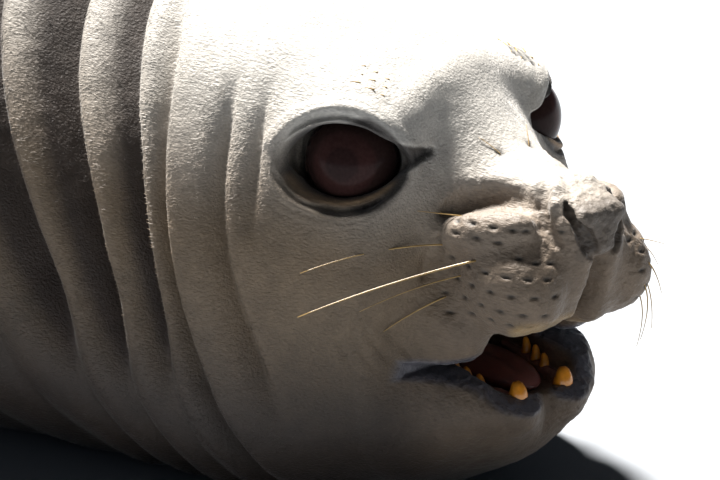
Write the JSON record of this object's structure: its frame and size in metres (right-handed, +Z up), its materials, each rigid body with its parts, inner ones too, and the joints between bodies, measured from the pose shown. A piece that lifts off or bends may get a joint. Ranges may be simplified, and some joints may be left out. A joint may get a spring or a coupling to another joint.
{
  "type": "southern elephant seal figure",
  "caption": "Life-size model of a short-snouted female elephant seal lying on her belly, neck folded, mouth slightly open.",
  "frame": {"origin": "on the floor, under the middle of the animal's bounding box", "axes": "+Y toward the tail, +X to the seal's left, +Z up; the head looks toward -Y and a little to -X"},
  "size_m": [0.9378, 2.9144, 0.5234],
  "materials": {
    "coat": "short flat hair, grey brown above and paler below",
    "eye": "wet and glossy, dark brown",
    "claw": "dark horn",
    "mouth": "wet, dark pink"
  },
  "bodies": {
    "root": {"head": "coat", "lower_jaw": "coat", "neck": "coat", "chest": "coat", "belly": "coat", "hips": "coat", "tail": "coat", "fore_flipper_right": "coat", "fore_flipper_left": "coat", "hind_flipper_right": "coat", "hind_flipper_left": "coat", "tongue": "mouth", "eye_right": "eye", "eye_left": "eye", "claw_right_1": "claw", "claw_right_2": "claw", "claw_right_3": "claw", "claw_right_4": "claw", "claw_right_5": "claw", "claw_left_1": "claw", "claw_left_2": "claw", "claw_left_3": "claw", "claw_left_4": "claw", "claw_left_5": "claw"}
  },
  "joints": []
}
